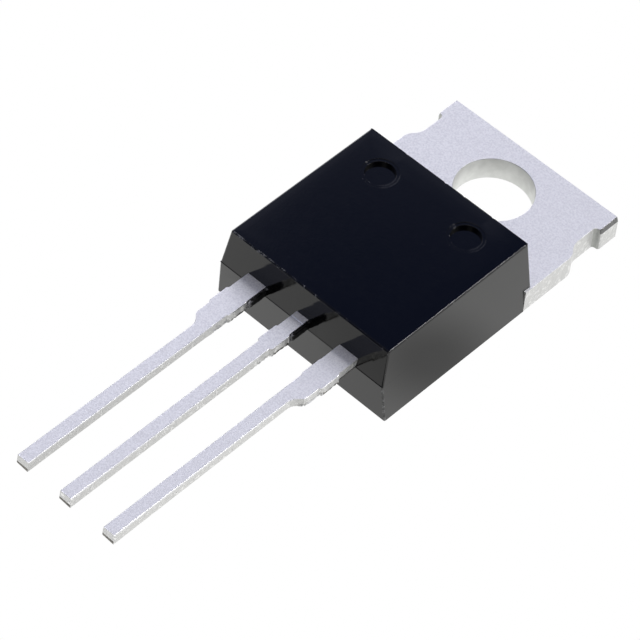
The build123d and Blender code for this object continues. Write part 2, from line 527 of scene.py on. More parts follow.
@dataclass(frozen=True)
class LeadSize:
    """Sizes the three leads share, in millimetres, and how they are cut from their strip."""

    pitch: float = 2.54
    bottom: float = 2.24
    thickness: float = 0.48
    width: float = 0.65
    reach: float = 0.9
    tip: float = -26.50
    root: float = -12.5
    root_half_width: float = 0.34
    dam_near: float = -13.70
    dam_far: float = -14.80
    dam_proud: float = 0.09
    top_edge: float = 0.05
    shadow_edge: float = 0.035
    bottom_edge: float = 0.02
    edge_band: float = 0.1
    edge_run: float = 1.2
    tip_edge: float = 0.035
    tip_lean: float = 0.05
    burr_height: float = 0.13
    burr_drop: float = 0.05
    burr_band: float = 0.03
    # the painted shadow line under each root: its height, where it starts past the dam bar, and how
    # far below it reaches
    root_shadow_height: float = 0.085
    root_shadow_start: float = 0.1
    root_shadow_drop: float = 0.03
    tear_run: float = 1.1
    tear_spacing: float = 0.1
    tear_depth: float = 0.03
    tear_outwards: float = 0.5
    untorn_top: float = 0.12
    # faces of the left top edge that turn this way take painted shade
    shaded_edge_facing: Range = (-0.3, 0.2)
    # faces of the right top edge that turn this way take the painted highlight
    highlight_edge_facing: Range = (0.25, 0.25)

    @property
    def top(self) -> float:
        """The height of the leads' upper face."""
        return self.bottom + self.thickness

    @property
    def leg(self) -> Range:
        """The stretch, from the tip to just past the dam bar, whose long edges are rounded."""
        return self.tip, self.dam_far + self.edge_run

    def patches(self) -> dict[Skin, FaceTest]:
        """The sheared sides; the cut burrs, dark metal with painted shadow, and painted shadow
        lines under the roots; the rolled top edge in painted shade, the polished one in painted
        highlight.

        Returns:
            The test for the faces of each finish.
        """
        cut = Zone(
            y=(self.tip - SLACK, self.tip + self.burr_band),
            z=(0, self.bottom + self.burr_height),
        )
        # a painted shadow line along the roots' lower edge
        root = Zone(
            y=(self.dam_far + self.root_shadow_start, self.root),
            z=(self.bottom - self.root_shadow_drop, self.bottom + self.root_shadow_height),
        )
        edge = Zone(y=self.leg, z=(self.top - self.edge_band, self.top))
        return {
            Skin.SHEARED: lambda face: abs(face.normal.z) < LEANING,
            # the tips' burrs are dark cut metal with painted shadow; the line along the roots is
            # painted shadow only
            Skin.BURR: lambda face: (cut.touches(face) and face.normal.y < -LEANING)
            or (root.touches(face) and abs(face.normal.x) > LEANING),
            # a grey line painted along the left top edges, as shade
            Skin.ROLLED: lambda face: edge.touches(face)
            and face.normal.x < self.shaded_edge_facing[0]
            and face.normal.z > self.shaded_edge_facing[1],
            # the right top edges: polished smoother, with a lighter tone painted as highlight
            Skin.POLISHED: lambda face: edge.touches(face)
            and face.normal.x > self.highlight_edge_facing[0]
            and face.normal.z > self.highlight_edge_facing[1],
        }

    def shear(self, lead: Workpiece, middle: float, seed: int) -> None:
        """Rounds a lead's long edges, slants its tip, drags a burr down and tears its stubs.

        Args:
            lead: The lead, still square-edged.
            middle: The x of the lead's centre line.
            seed: Sets how the dam bar's stubs are torn.
        """
        across, half = about(self.reach, middle), self.width / 2
        lead.score(Axis.Z, self.bottom + self.root_shadow_height, self.bottom + self.burr_height)
        for x, level, radius, segments in (
            ((across[0], middle), self.top, self.shadow_edge, 3),
            ((middle, across[1]), self.top, self.top_edge, 3),
            (across, self.bottom, self.bottom_edge, 2),
        ):
            lead.round_edges(Zone(x, self.leg, at(level)).edges(Axis.Y), radius, segments)
        above = (self.bottom + self.burr_height + SLACK, self.top)
        lead.shift(Zone(across, at(self.tip), above).holds, (0, self.tip_lean, 0))
        cut = Zone(across, at(self.tip + self.tip_lean), at(self.top))
        lead.round_edges(cut.edges(Axis.X), self.tip_edge, 3)
        below = (self.bottom, self.bottom + self.burr_height / 2)
        lead.shift(Zone(across, at(self.tip), below).holds, (0, 0, -self.burr_drop / 3))
        corner = Zone((middle + half / 2, middle + half), at(self.tip), (0, self.bottom))
        lead.shift(corner.holds, (0, 0, -self.burr_drop))
        start, stop = self.dam_far - self.tear_run, self.dam_near - self.dam_proud
        count = int((stop - start) / self.tear_spacing)
        lead.score(Axis.Y, *steps(start, self.tear_spacing, count))
        torn = Zone(across, (start, stop), (self.bottom - SLACK, self.top - self.untorn_top))
        lead.roughen(
            lambda point: torn.holds(point) and abs(point.x - middle) > half - 2 * SLACK,
            self.tear_depth, self.tear_outwards, seed,
        )


@dataclass
class AnodeLeads(Assembly):
    """The outer leads: bond pad inside the moulding, wide neck, cut dam bar and narrow leg."""

    size: LeadSize = field(default_factory=LeadSize)
    neck_outer: float = 3.27
    neck_end: float = -15.72
    neck_corner: float = 0.12
    pad_inner: float = 1.45
    pad_outer: float = 3.95
    pad_back: float = -10.20
    pad_front: float = -11.50
    skin: ClassVar[Skin] = Skin.TIN
    slot: ClassVar[Slot] = Slot.TINNED_COPPER

    def shapes(self) -> dict[str, Workpiece]:
        """Models the right-hand lead, mirrors a copy of it and cuts both loose from their strip.

        Returns:
            The leads by node.
        """
        right = self._blank()
        left = right.twin("anode_lead_left_fine")
        left.mirror_across()
        self.size.shear(right, self.size.pitch, 3)
        self.size.shear(left, -self.size.pitch, 8)
        return {"anode_lead_right": right, "anode_lead_left": left}

    def patches(self) -> dict[Skin, FaceTest]:
        """The patches that all leads have."""
        return self.size.patches()

    def _blank(self) -> Workpiece:
        """Stamps the right-hand lead, its long edges still square.

        Returns:
            The lead.
        """
        size = self.size
        inner, outer = about(size.width / 2, size.pitch)
        lead = Workpiece.block(
            "anode_lead_right_fine",
            (inner, size.tip, size.bottom), (outer, self.pad_back, size.top),
        )
        dam_start, dam_end = size.dam_near - size.dam_proud, size.dam_far - size.dam_proud
        taper = self.neck_end - (self.neck_outer - outer)
        root = size.pitch - size.root_half_width
        stub = root - size.dam_proud / 2
        stub_outer = self.neck_outer + size.dam_proud
        lead.score(
            Axis.Y, taper, self.neck_end, dam_end, size.dam_far, dam_start, size.dam_near,
            self.pad_front,
        )
        for place, inner_side, outer_side in (
            (self.neck_end, inner, self.neck_outer),
            (dam_end, inner, self.neck_outer),
            (size.dam_far, stub, stub_outer),
            (dam_start, stub, stub_outer),
            (size.dam_near, root, self.neck_outer),
            (self.pad_front, root, self.neck_outer),
            (self.pad_back, root, self.neck_outer),
        ):
            for edge, moved in ((inner, inner_side), (outer, outer_side)):
                lead.shift(Zone(x=at(edge), y=at(place)).holds, (moved - edge, 0, 0))
        for x, y, radius, segments in (
            (outer, taper, 2 * self.neck_corner, 6),
            (self.neck_outer, self.neck_end, self.neck_corner, 4),
        ):
            lead.round_edges(Zone(x=at(x), y=at(y)).edges(Axis.Z), radius, segments)
        pad = (self.pad_front, self.pad_back)
        for sign, start, end in ((1, self.neck_outer, self.pad_outer), (-1, root, self.pad_inner)):
            lead.pull(Zone(x=at(start), y=pad).faces((sign, 0, 0)), (end - start, 0, 0))
        return lead


@dataclass
class Header(Assembly):
    """The stamped plate with the drilled tab, and the middle lead that steps up from it."""

    size: LeadSize = field(default_factory=LeadSize)
    thickness: float = 1.27
    tab_end: float = 2.85
    hole_radius: float = 1.875
    hole_edge: float = 0.03
    hole_sides: int = 144
    hole_reach: float = 2.0
    ear_half_width: float = 4.96
    ear_root: float = 1.65
    notch_half_width: float = 4.62
    notch_end: float = 0.15
    notch_runout: float = 0.50
    notch_corner: float = 0.28
    shoulder_half_width: float = 5.038
    shoulder_root: float = -3.50
    pad_half_width: float = 4.45
    pad_front: float = -9.95
    lock_width: float = 0.35
    lock_height: float = 0.50
    rim: float = 0.02
    ear_corner: float = 0.16
    ear_tip_corner: float = 0.14
    ear_corner_facets: int = 6
    ear_lean: float = 0.09
    # faces of the ears' brow that turn between these are painted dark as shade
    brow_facing: Range = (0.1, 0.93)
    step_facing: float = -0.35
    burnish_height: float = 0.25
    tear_levels: tuple[float, ...] = (0.14, 0.28, 0.41, 0.62, 0.75, 0.88, 0.99)
    torn_levels: Range = (0.1, 0.95)
    tear_spacing: float = 0.15
    tear_depth: float = 0.012
    tear_margin: float = 0.05
    tear_outwards: float = 0.9
    untorn_margin: float = 0.15
    witness: float = -12.88
    witness_depth: float = 0.03
    witness_reach: float = 0.04
    joggle_start: float = -10.25
    joggle_end: float = -11.25
    joggle_bend: float = 0.2
    strap_half_width: float = 0.75
    strap_neck: float = -11.70
    skin: ClassVar[Skin] = Skin.TIN
    slot: ClassVar[Slot] = Slot.TINNED_COPPER

    @property
    def back(self) -> float:
        """Where the plate starts, behind its locking lip."""
        return self.pad_front + self.lock_width

    @property
    def ramp(self) -> float:
        """Where the notch runs out onto the shoulder."""
        return self.notch_end - self.notch_runout

    def shapes(self) -> dict[str, Workpiece]:
        """Models the plate and joins the middle lead to it.

        Returns:
            The one piece by its node.
        """
        header = self._plate()
        header.combine(self._middle_lead(), "UNION")
        return {"cathode_tab_lead": header}

    def patches(self) -> dict[Skin, FaceTest]:
        """The lead's patches; the ears' step, the drilled bore and the ears' brow, in painted
        shade.

        Returns:
            The test for the faces of each finish.
        """
        bore = Zone(about(self.hole_reach), about(self.hole_reach))
        step = Zone(y=(self.ear_root - self.ear_corner, self.ear_root + 4 * SLACK))
        brow_edge = self.ear_half_width - self.ear_lean - self.rim - 2 * SLACK
        return {
            **self.size.patches(),
            Skin.STEP: lambda face: step.touches(face)
            and abs(face.calc_center_median().x) > self.notch_half_width - SLACK
            and face.normal.y < self.step_facing,
            # the bore's walls: smoother tin with painted shade, darker towards the mouth
            Skin.BORE: lambda face: bore.touches(face) and abs(face.normal.z) < FACING,
            # the ears' brow: a dark band painted as shade
            Skin.BURNISHED: lambda face: self.brow_facing[0] < face.normal.z < self.brow_facing[1]
            and face.calc_center_median().y > self.ear_root - 2 * SLACK
            and abs(face.calc_center_median().x) > brow_edge,
        }

    def _plate(self) -> Workpiece:
        """Models the sheared plate from the tab's free end to the pad under the dies.

        Returns:
            The plate, drilled and torn.
        """
        core = self.pad_half_width - self.lock_width
        plate = Workpiece.block(
            "cathode_tab_lead_fine", (-core, self.back, 0), (core, self.tab_end, self.thickness)
        )
        plate.score(Axis.Z, self.lock_height, self.thickness - self.burnish_height)
        plate.score(Axis.Y, self.shoulder_root, self.ramp, self.notch_end, self.ear_root)
        lip = (self.lock_height, self.thickness)
        for side in Side:
            self._spread(plate, side.value, core, lip)
        front = Zone(y=at(self.back), z=lip)
        plate.pull(front.faces((0, -1, 0)), (0, -self.lock_width, 0))
        plate.clean_flats()
        self._round_rim(plate)
        plate.score(Axis.Z, *self.tear_levels)
        run = self.tab_end - self.shoulder_root
        count = round(run / self.tear_spacing)
        plate.score(Axis.Y, *steps(self.shoulder_root, run / count, count - 1))
        plate.score(Axis.X, *about(self.notch_half_width - self.untorn_margin))
        self._drill(plate)
        self._tear(plate)
        return plate

    def _spread(self, plate: Workpiece, sign: int, core: float, lip: Range) -> None:
        """Draws out one side of the plate: the pad's lip, then the shoulder, notch and ear.

        Args:
            plate: The plate.
            sign: The side's sign.
            core: Half the width that the plate starts with.
            lip: The heights between which the pad's lip stands out.
        """
        for start, end, levels, width in (
            (self.pad_front, self.shoulder_root, lip, self.lock_width),
            (self.shoulder_root, self.tab_end, ANYWHERE, self.notch_half_width - core),
            (self.ear_root, self.tab_end, ANYWHERE, self.ear_half_width - self.notch_half_width),
        ):
            flank = Zone(y=(start, end), z=levels)
            plate.pull(flank.faces((sign, 0, 0)), (sign * width, 0, 0))
        wall = Zone(x=at(sign * self.notch_half_width), y=(self.shoulder_root, self.ramp))
        plate.shift(wall.holds, (sign * (self.shoulder_half_width - self.notch_half_width), 0, 0))
        for x, y, radius, facets in (
            (self.notch_half_width, self.notch_end, self.notch_corner, 8),
            (self.shoulder_half_width, self.ramp, self.notch_corner, 8),
            (self.notch_half_width, self.ear_root, self.ear_corner, self.ear_corner_facets),
            (self.ear_half_width, self.ear_root, self.ear_tip_corner, self.ear_corner_facets),
        ):
            corner = Zone(x=at(sign * x), y=at(y))
            plate.round_edges(corner.edges(Axis.Z), radius, facets)
        for facet in range(self.ear_corner_facets):
            share = math.cos(math.radians(90 / self.ear_corner_facets * facet))
            level = self.ear_half_width - self.ear_tip_corner * (1 - share)
            brow = Zone(at(sign * level), (self.ear_root - SLACK, self.tab_end), at(self.thickness))
            plate.shift(brow.holds, (-sign * self.ear_lean * share, 0, 0))

    def _round_rim(self, plate: Workpiece) -> None:
        """Softens the tab's top edge where it is free of the moulding.

        Args:
            plate: The plate.
        """
        rim = Zone(y=(self.shoulder_root, self.tab_end), z=at(self.thickness))
        plate.round_edges(
            lambda edge: rim.spans(edge)
            and edge.calc_face_angle(0.0) > SHARP_TURN
            and max(vert.co.y for vert in edge.verts) > self.shoulder_root + SLACK,
            self.rim, 2,
        )

    def _drill(self, plate: Workpiece) -> None:
        """Drills the tab and breaks the edge of the bore's mouth.

        Args:
            plate: The plate.
        """
        drill = Workpiece.rod(
            "drill", (0, 0, -1), self.hole_radius, self.thickness + 2, self.hole_sides
        )
        plate.combine(drill, "DIFFERENCE")
        plate.round_edges(
            rim_edges(Vector((0, 0, self.thickness)), self.hole_radius, SLACK), self.hole_edge, 3
        )

    def _tear(self, plate: Workpiece) -> None:
        """Tears the sheared sides of the shoulders and notches, but not where they bend.

        Args:
            plate: The plate.
        """
        end = self.ear_root - self.ear_corner - 2 * SLACK
        torn = Zone(y=(self.shoulder_root + self.tear_margin, end), z=self.torn_levels)
        bends = Zone(y=(self.ramp - self.notch_corner, self.notch_end + self.notch_corner))
        plate.roughen(
            lambda point: torn.holds(point)
            and abs(point.x) > self.notch_half_width - self.tear_margin
            and not bends.holds(point),
            self.tear_depth, self.tear_outwards, 11,
        )

    def _middle_lead(self) -> Workpiece:
        """Models the cathode lead with its wide strap and the step down to the plate's level.

        Returns:
            The lead.
        """
        size, half = self.size, self.size.width / 2
        lead = Workpiece.block(
            "middle_lead", (-half, size.tip, size.bottom), (half, self.back, size.top)
        )
        dam_start, dam_end = size.dam_near - size.dam_proud, size.dam_far - size.dam_proud
        neck = self.strap_neck - (self.strap_half_width - size.root_half_width)
        lead.score(
            Axis.Y, dam_end, size.dam_far, dam_start, size.dam_near, neck,
            self.strap_neck, self.joggle_end, self.joggle_start,
        )
        for start, end, half_width in (
            (size.dam_far, dam_start, size.root_half_width + size.dam_proud),
            (size.dam_near, neck, size.root_half_width),
            (self.strap_neck, self.back, self.strap_half_width),
        ):
            lead.widen(Zone(y=(start, end)).holds, half_width / half)
        lead.shift(Zone(y=(self.joggle_start, self.back)).holds, (0, 0, self.thickness - size.top))
        for bend in (self.joggle_start, self.joggle_end):
            lead.round_edges(Zone(y=at(bend)).edges(Axis.X), self.joggle_bend, 5)
        size.shear(lead, 0.0, 5)
        reach = self.witness_reach
        lead.score(Axis.Y, self.witness - reach, self.witness, self.witness + reach)
        dent = Zone(y=at(self.witness), z=at(size.top))
        lead.shift(dent.holds, (0, 0, -self.witness_depth))
        return lead


def rim_edges(middle: Vector, radius: float, slack: float) -> EdgeTest:
    """Finds a round rim.

    Args:
        middle: The rim's centre.
        radius: The rim's radius.
        slack: How far off the circle a vertex may be.

    Returns:
        The test for its edges.
    """
    def on_rim(vert: bmesh.types.BMVert) -> bool:
        """Whether a vertex lies on the rim."""
        away = vert.co - middle
        return abs(away.z) < 2 * SAME_PLACE and abs(away.xy.length - radius) < slack

    return lambda edge: all(on_rim(vert) for vert in edge.verts)


@dataclass
class MouldedBody(Assembly):
    """The glossy black moulding: drafted foot and crown, a step over the tab, ejector recesses."""

    height: float = 4.15
    parting: float = 2.24
    ledge: float = 0.03
    ledge_height: float = 0.005
    tab_level: float = 1.27
    foot_half_width: float = 5.05
    top_half_width: float = 4.67
    front_foot: float = -12.47
    front_parting: float = -12.65
    front_top: float = -12.25
    back_foot: float = -3.50
    back_tab: float = -3.07
    back_top: float = -3.40
    corner: float = 0.08
    top_edge: float = 0.07
    sag: float = 0.018
    sag_widths: Range = (0.45, 0.6)
    sag_shares: Range = (0.75, 0.25)
    top_area: float = 20
    ejector: Range = (2.55, -5.10)
    ring_radius: float = 0.865
    ring_depth: float = 0.03
    pit_radius: float = 0.72
    pit_depth: float = 0.22
    ring_edge: float = 0.012
    pin_length: float = 1.0
    pin_sides: int = 96
    flash_width: float = 0.15
    flash_end: float = -13.70
    flash_margins: Range = (0.02, 0.03)
    flash_spacing: float = 0.09
    flash_layer: float = 0.11
    flash_tear: float = 0.03
    flash_outwards: float = 0.2
    flash_root: float = 0.1
    flash_still: Range = (0.05, 0.3)
    flash_short: float = 0.06
    curl_length: float = 0.13
    curl_facet: float = 0.02
    # facets of the curl that face up or forward take the painted highlight
    curl_highlight_facing: Range = (0.25, -0.4)
    nub: Triple = (0.17, 0.16, 0.02)
    nub_inset: float = 0.03
    nub_dent: float = 0.035
    nicks: tuple[Range, ...] = ((-2.5, 0.02), (-0.2, 0.04), (0.9, 0.03), (2.6, 0.03))
    nick_reach: float = 0.09
    nick_run: float = 0.1
    held: tuple[str, ...] = (
        "cathode_tab_lead", "anode_lead_left", "anode_lead_right",
        "schottky_die_left", "schottky_die_right", "die_solder_left", "die_solder_right",
        "bond_wire_left", "bond_wire_right",
    )
    skin: ClassVar[Skin] = Skin.RESIN
    slot: ClassVar[Slot] = Slot.MOULDING

    def shapes(self) -> dict[str, Workpiece]:
        """Models the outside, its recesses and its flash, then the cavity left by what it holds.

        Returns:
            The moulding by its node.
        """
        body = self._outside()
        for side in Side:
            self._eject(body, side)
        for middle, seed in ((-LeadSize.pitch, 7), (0.0, 12)):
            body.combine(self._flash(middle + LeadSize.root_half_width, seed), "UNION")
        for node in self.held:
            body.combine(Workpiece.cast_of(node), "DIFFERENCE")
        return {"moulded_body": body}

    def patches(self) -> dict[Skin, FaceTest]:
        """The torn flash in front of the moulding, and its curled ends with a painted highlight.

        Returns:
            The test for the faces of each finish.
        """
        curl = Zone(y=(self.flash_end - SLACK, self.flash_end + self.curl_length))
        flash = Zone(y=(self.flash_end + self.flash_root, self.front_parting - SLACK))
        return {
            Skin.TORN_RESIN: flash.touches,
            # the curl's small facets that face up or forward get a painted highlight
            Skin.CURLED_RESIN: lambda face: curl.touches(face)
            and face.calc_area() < self.curl_facet
            and (face.normal.z > self.curl_highlight_facing[0] or face.normal.y < self.curl_highlight_facing[1]),
        }

    def _outside(self) -> Workpiece:
        """Models the drafted block with its parting ledge, its step over the tab and soft edges.

        Returns:
            The block, solid and without recesses.
        """
        body = Workpiece.block(
            "moulded_body_fine",
            (-self.foot_half_width, self.front_foot, 0),
            (self.foot_half_width, self.back_foot, self.height),
        )
        ledge_top = self.parting + self.ledge_height
        body.score(Axis.Z, self.tab_level, self.parting, ledge_top)
        crown = Zone(z=(self.tab_level, self.height))
        body.pull(crown.faces((0, 1, 0)), (0, self.back_tab - self.back_foot, 0))
        for level, front in (
            (self.tab_level, self._front_below(self.tab_level)),
            (self.parting, self.front_parting),
            (ledge_top, self.front_parting + self.ledge),
            (self.height, self.front_top),
        ):
            self._draft(body, level, front)
        self._soften_top(body)
        front_walls = Zone(y=(self.front_parting, self.front_top))
        back_walls = Zone(y=(self.back_top, self.back_tab), z=(self.tab_level, self.height))
        for walls in (front_walls, back_walls):
            body.round_edges(walls.edges(Axis.Z), self.corner, 5)
        lip = Zone(z=(self.height - self.sag - SAME_PLACE, self.height))
        back = self.back_top - self.corner - 2 * SLACK
        body.round_edges(
            lambda edge: lip.spans(edge)
            and edge.calc_face_angle(0.0) > SHARP_TURN
            and not all(vert.co.y > back for vert in edge.verts),
            self.top_edge, 4,
        )
        for x, depth in self.nicks:
            self._nick(body, x, depth)
        return body

    def _draft(self, body: Workpiece, level: float, front: float) -> None:
        """Leans the walls in at one height.

        Args:
            body: The block.
            level: The height.
            front: Where the front wall stands there.
        """
        back_lean = (self.back_top - self.back_tab) / (self.height - self.tab_level)
        for wall, move in (
            (self.front_foot, front - self.front_foot),
            (self.back_tab, back_lean * (level - self.tab_level)),
        ):
            body.shift(Zone(y=at(wall), z=at(level)).holds, (0, move, 0))
        narrowing = (self.top_half_width - self.foot_half_width) * level / self.height
        half = self.foot_half_width + narrowing
        body.widen(Zone(z=at(level)).holds, half / self.foot_half_width)

    def _front_below(self, level: float) -> float:
        """Where the front wall stands at a height under the parting plane."""
        return self.front_foot + (self.front_parting - self.front_foot) * level / self.parting

    def _soften_top(self, body: Workpiece) -> None:
        """Lets the top sag very slightly towards its edges.

        Args:
            body: The block.
        """
        top = Zone(z=at(self.height)).faces((0, 0, 1))
        for width in self.sag_widths:
            with body.editing():
                body.pick_faces(lambda face: top(face) and face.calc_area() > self.top_area)
                bpy.ops.mesh.inset(thickness=width, use_even_offset=True)
        margins = (SLACK, self.sag_widths[0] + 2 * SLACK)
        for margin, share in zip(margins, self.sag_shares):
            inner = Zone(
                x=about(self.top_half_width - margin - SAME_PLACE),
                y=(self.front_top + margin + SAME_PLACE, self.back_top - margin - SAME_PLACE),
            )
            body.shift(
                lambda point: point.z > self.height - self.sag - SAME_PLACE
                and not inner.holds(point),
                (0, 0, -self.sag * share),
            )

    def _nick(self, body: Workpiece, x: float, depth: float) -> None:
        """Knocks a small nick in the top's back edge.

        Args:
            body: The block.
            x: Where the nick is deepest.
            depth: How deep it is.
        """
        body.score(Axis.X, x - self.nick_reach, x, x + self.nick_reach)
        edge = (self.back_top - self.nick_run, self.back_tab)
        nick = Zone(at(x), edge, (self.height - 2 * self.sag, self.height))
        body.shift(nick.holds, (0, -depth, 0))

    def _eject(self, body: Workpiece, side: Side) -> None:
        """Sinks one ejector pin's shallow ring and its deeper pit into the top.

        Args:
            body: The block.
            side: The side that the pin stood on.
        """
        x, y = side.value * self.ejector[0], self.ejector[1]
        for radius, depth in (
            (self.ring_radius, self.ring_depth), (self.pit_radius, self.pit_depth)
        ):
            foot = (x, y, self.height - depth)
            pin = Workpiece.rod("pin", foot, radius, self.pin_length, self.pin_sides)
            body.combine(pin, "DIFFERENCE")
        for radius, depth in ((self.ring_radius, 0.0), (self.pit_radius, self.ring_depth)):
            rim = rim_edges(Vector((x, y, self.height - depth)), radius, 3 * SAME_PLACE)
            body.round_edges(rim, self.ring_edge, 2)

    def _flash(self, edge: float, seed: int) -> Workpiece:
        """Models the thin fin of resin beside a lead, torn off at the dam bar with a curled end.

        Args:
            edge: The x of the lead's side that the fin clings to.
            seed: Sets how the fin is torn.

        Returns:
            The fin, reaching back into the moulding.
        """
        low = LeadSize.bottom + self.flash_margins[0]
        high = LeadSize.bottom + LeadSize.thickness - self.flash_margins[1]
        end, start = self.flash_end + self.flash_short, self.front_top - self.flash_root
        fin = Workpiece.block(
            "flash", (edge - SLACK, end, low), (edge + self.flash_width, start, high)
        )
        fin.score(Axis.Y, *steps(end, self.flash_spacing, 13))
        fin.score(Axis.Z, *steps(low, self.flash_layer, 3))
        fin.roughen(
            lambda point: point.x > edge + self.flash_still[0]
            and point.y < start - self.flash_still[1],
            self.flash_tear, self.flash_outwards, seed,
        )
        width, length, droop = self.nub
        nub = Workpiece.block(
            "nub", (edge - SLACK, self.flash_end, low - droop),
            (edge + width, self.flash_end + length, high),
        )
        with nub.editing():
            nub.pick_faces(lambda face: face.normal.y < -FACING)
            bpy.ops.mesh.inset(thickness=self.nub_inset)
            bpy.ops.transform.translate(value=(0.0, self.nub_dent, 0.0))
        nub.apply("SUBSURF", levels=2, render_levels=2)
        fin.apply("SUBSURF", levels=1, render_levels=1)
        fin.combine(nub, "UNION")
        return fin


# ---------------------------------------------------------------------------------- the finishes
class Wiring:
    """Adds nodes to one tree and links them."""

    def __init__(self, tree: bpy.types.NodeTree) -> None:
        """Works on this tree."""
        self.tree = tree

    def node(self, kind: str, feeds: Feeds | None = None, **settings: object) -> bpy.types.Node:
        """Adds a node.

        Args:
            kind: The node's type.
            feeds: What goes into its sockets: constants, or other nodes' outputs.
            settings: The node's own options.

        Returns:
            The new node.
        """
        made = self.tree.nodes.new(kind)
        for name, value in settings.items():
            setattr(made, name, value)
        return self.fill(made, feeds or {})

    def fill(self, node: bpy.types.Node, feeds: Feeds) -> bpy.types.Node:
        """Feeds a node's sockets.

        Args:
            node: The node.
            feeds: What goes into its sockets, by their names or numbers.

        Returns:
            The same node.
        """
        for socket, value in feeds.items():
            self.feed(node.inputs[socket], value)
        return node

    def feed(self, socket: Socket, value: object) -> None:
        """Links an output to a socket, or sets the socket's constant.

        Args:
            socket: The socket that is fed.
            value: The output or the constant.
        """
        if isinstance(value, Socket):
            self.tree.links.new(value, socket)
        elif socket.type == "RGBA":
            socket.default_value = (*value, 1.0)
        else:
            socket.default_value = value

    def place(self) -> Socket:
        """The shaded point's place in the frame."""
        return self.node("ShaderNodeTexCoord").outputs["Object"]

    def split(self, vector: Socket) -> tuple[Socket, Socket, Socket]:
        """The three parts of a vector."""
        return tuple(self.node("ShaderNodeSeparateXYZ", {"Vector": vector}).outputs)

    def sums(self, operation: str, *values: object, clamp: bool = False) -> Socket:
        """Does one step of arithmetic."""
        made = self.node("ShaderNodeMath", operation=operation, use_clamp=clamp)
        return self.fill(made, dict(enumerate(values))).outputs[0]

    def product(self, *factors: object) -> Socket:
        """Multiplies the factors, one after the other."""
        return reduce(lambda first, second: self.sums("MULTIPLY", first, second), factors)

    def span(
        self, value: Socket, start: object, end: float, low: float = 0.0, high: float = 1.0,
        smooth: bool = True,
    ) -> Socket:
        """Maps one range of a value onto another, and holds still outside it.

        Args:
            value: The value.
            start: Where its range starts.
            end: Where its range ends.
            low: The result at the start.
            high: The result at the end.
            smooth: Whether the result eases in and out.

        Returns:
            The result.
        """
        feeds = {"Value": value, "From Min": start, "From Max": end, "To Min": low, "To Max": high}
        shape = "SMOOTHSTEP" if smooth else "LINEAR"
        return self.node("ShaderNodeMapRange", feeds, interpolation_type=shape).outputs["Result"]

    def ramp(self, value: Socket, start: float, end: float) -> Socket:
        """Maps start..end of a value onto 0..1 in a straight line."""
        return self.span(value, start, end, smooth=False)

    def texture(self, place: Socket, scale: object, detail: float, rough: float) -> Socket:
        """Even noise of this scale, in swings per metre."""
        feeds = {"Vector": place, "Scale": scale, "Detail": detail, "Roughness": rough}
        return self.node("ShaderNodeTexNoise", feeds).outputs["Fac"]

    def noise(self, place: Socket, per_mm: float, detail: float, rough: float = 0.5) -> Socket:
        """Even noise with this many swings in a millimetre."""
        return self.texture(place, per_mm * MM_PER_M, detail, rough)

    def stretched(self, place: Socket, scale: Triple) -> Socket:
        """The place with each axis scaled, so that a texture on it is drawn out."""
        feeds = {"Vector": place, "Scale": scale}
        return self.node("ShaderNodeMapping", feeds).outputs["Vector"]

    def blend(self, share: object, first: object, second: object) -> Socket:
        """Mixes two colours."""
        made = self.node("ShaderNodeMix", data_type="RGBA")
        return self.fill(made, {0: share, 6: first, 7: second}).outputs[2]

    def choose(self, share: Socket, first: Socket, second: Socket) -> Socket:
        """Mixes two shaders."""
        return self.node("ShaderNodeMixShader", {0: share, 1: first, 2: second}).outputs[0]

    def vectors(self, operation: str, first: Socket, second: object = None) -> bpy.types.Node:
        """Does one step of arithmetic with vectors."""
        feeds = {0: first} if second is None else {0: first, 1: second}
        return self.node("ShaderNodeVectorMath", feeds, operation=operation)

    def bump(self, height: Socket, strength: float, distance: float) -> Socket:
        """The normal of a surface with this fine relief."""
        feeds = {"Height": height, "Strength": strength, "Distance": distance}
        return self.node("ShaderNodeBump", feeds).outputs["Normal"]

    def effect(self, group: bpy.types.NodeTree, **feeds: object) -> Socket:
        """Puts a shared effect in the tree and returns what it gives."""
        return self.node("ShaderNodeGroup", feeds, node_tree=group).outputs[0]


